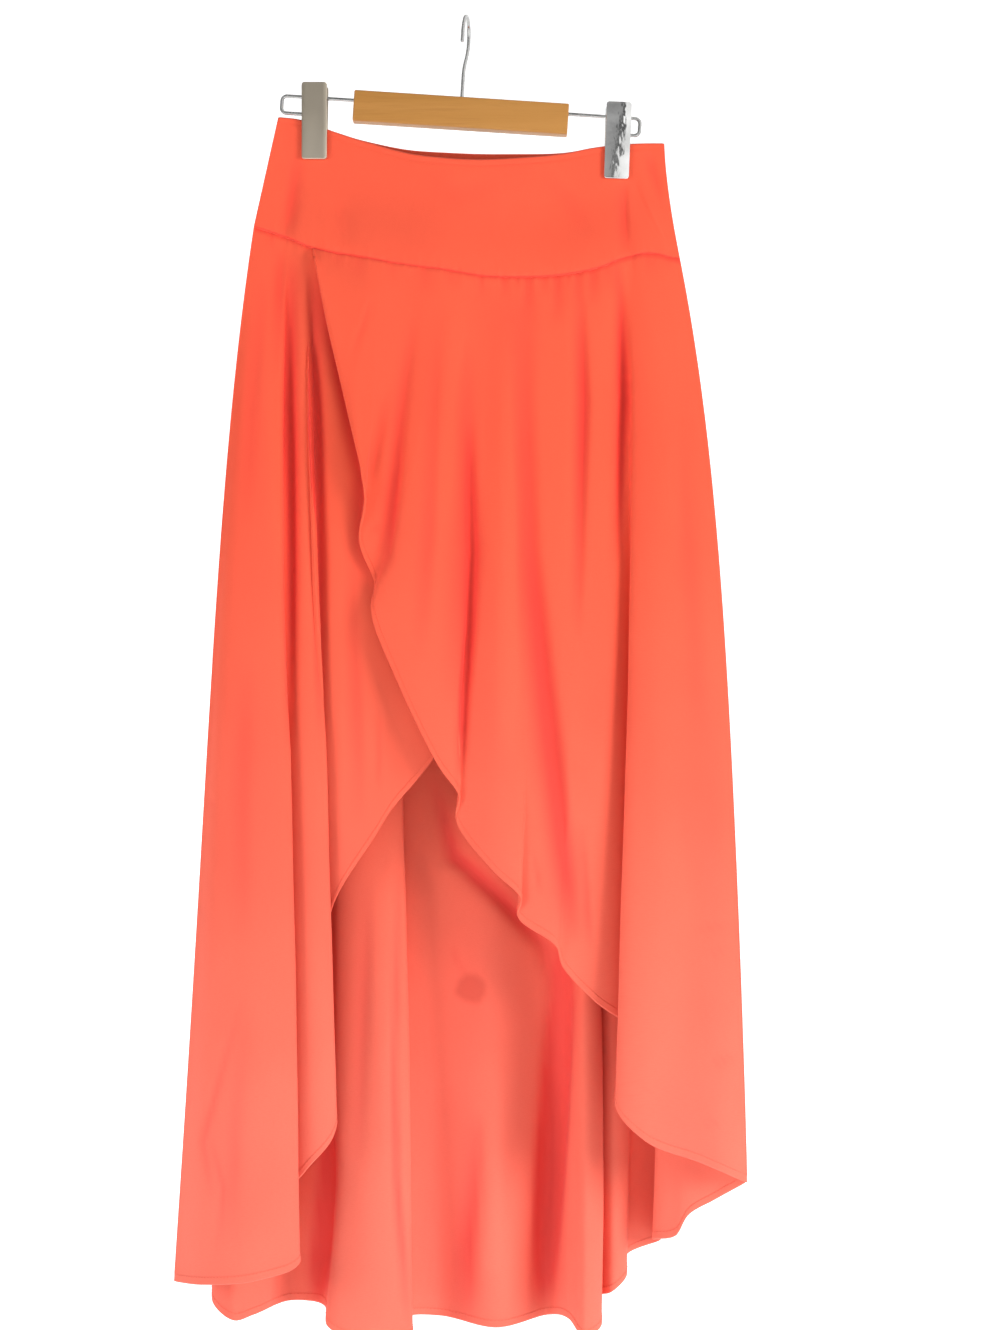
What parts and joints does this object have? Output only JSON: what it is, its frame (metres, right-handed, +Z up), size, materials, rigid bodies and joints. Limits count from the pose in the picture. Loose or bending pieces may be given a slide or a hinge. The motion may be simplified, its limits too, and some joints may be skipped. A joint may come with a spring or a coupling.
{
  "type": "high-low skirt on a clip hanger",
  "caption": "Sleeveless lower garment: wide waistband, crossed wrap front with a curved short-to-long hem and a longer back, held by a wooden bar hanger with spring clips.",
  "frame": {"origin": "inside of the hook's crown, where a rail carries the hanger", "axes": "+Z up, -Y out of the skirt's front, +X to the right as the front is seen"},
  "size_m": [0.4694, 0.1212, 1.0935],
  "materials": {
    "coral_fabric": "soft matt woven crepe",
    "varnished_wood": "satin varnish",
    "polished_steel": "polished plate",
    "clip_pad": "soft matt"
  },
  "bodies": {
    "root": {"waistband_front": "coral_fabric", "waistband_back": "coral_fabric", "front_overlap": "coral_fabric", "front_underlap": "coral_fabric", "back_panel": "coral_fabric", "hanger_bar": "varnished_wood", "hanger_hook": "polished_steel", "hanger_wire_left": "polished_steel", "hanger_wire_right": "polished_steel", "clip_left_front_plate": "polished_steel", "clip_left_back_plate": "polished_steel", "clip_left_spring": "polished_steel", "clip_left_front_pad": "clip_pad", "clip_left_back_pad": "clip_pad", "clip_right_front_plate": "polished_steel", "clip_right_back_plate": "polished_steel", "clip_right_spring": "polished_steel", "clip_right_front_pad": "clip_pad", "clip_right_back_pad": "clip_pad"}
  },
  "joints": []
}
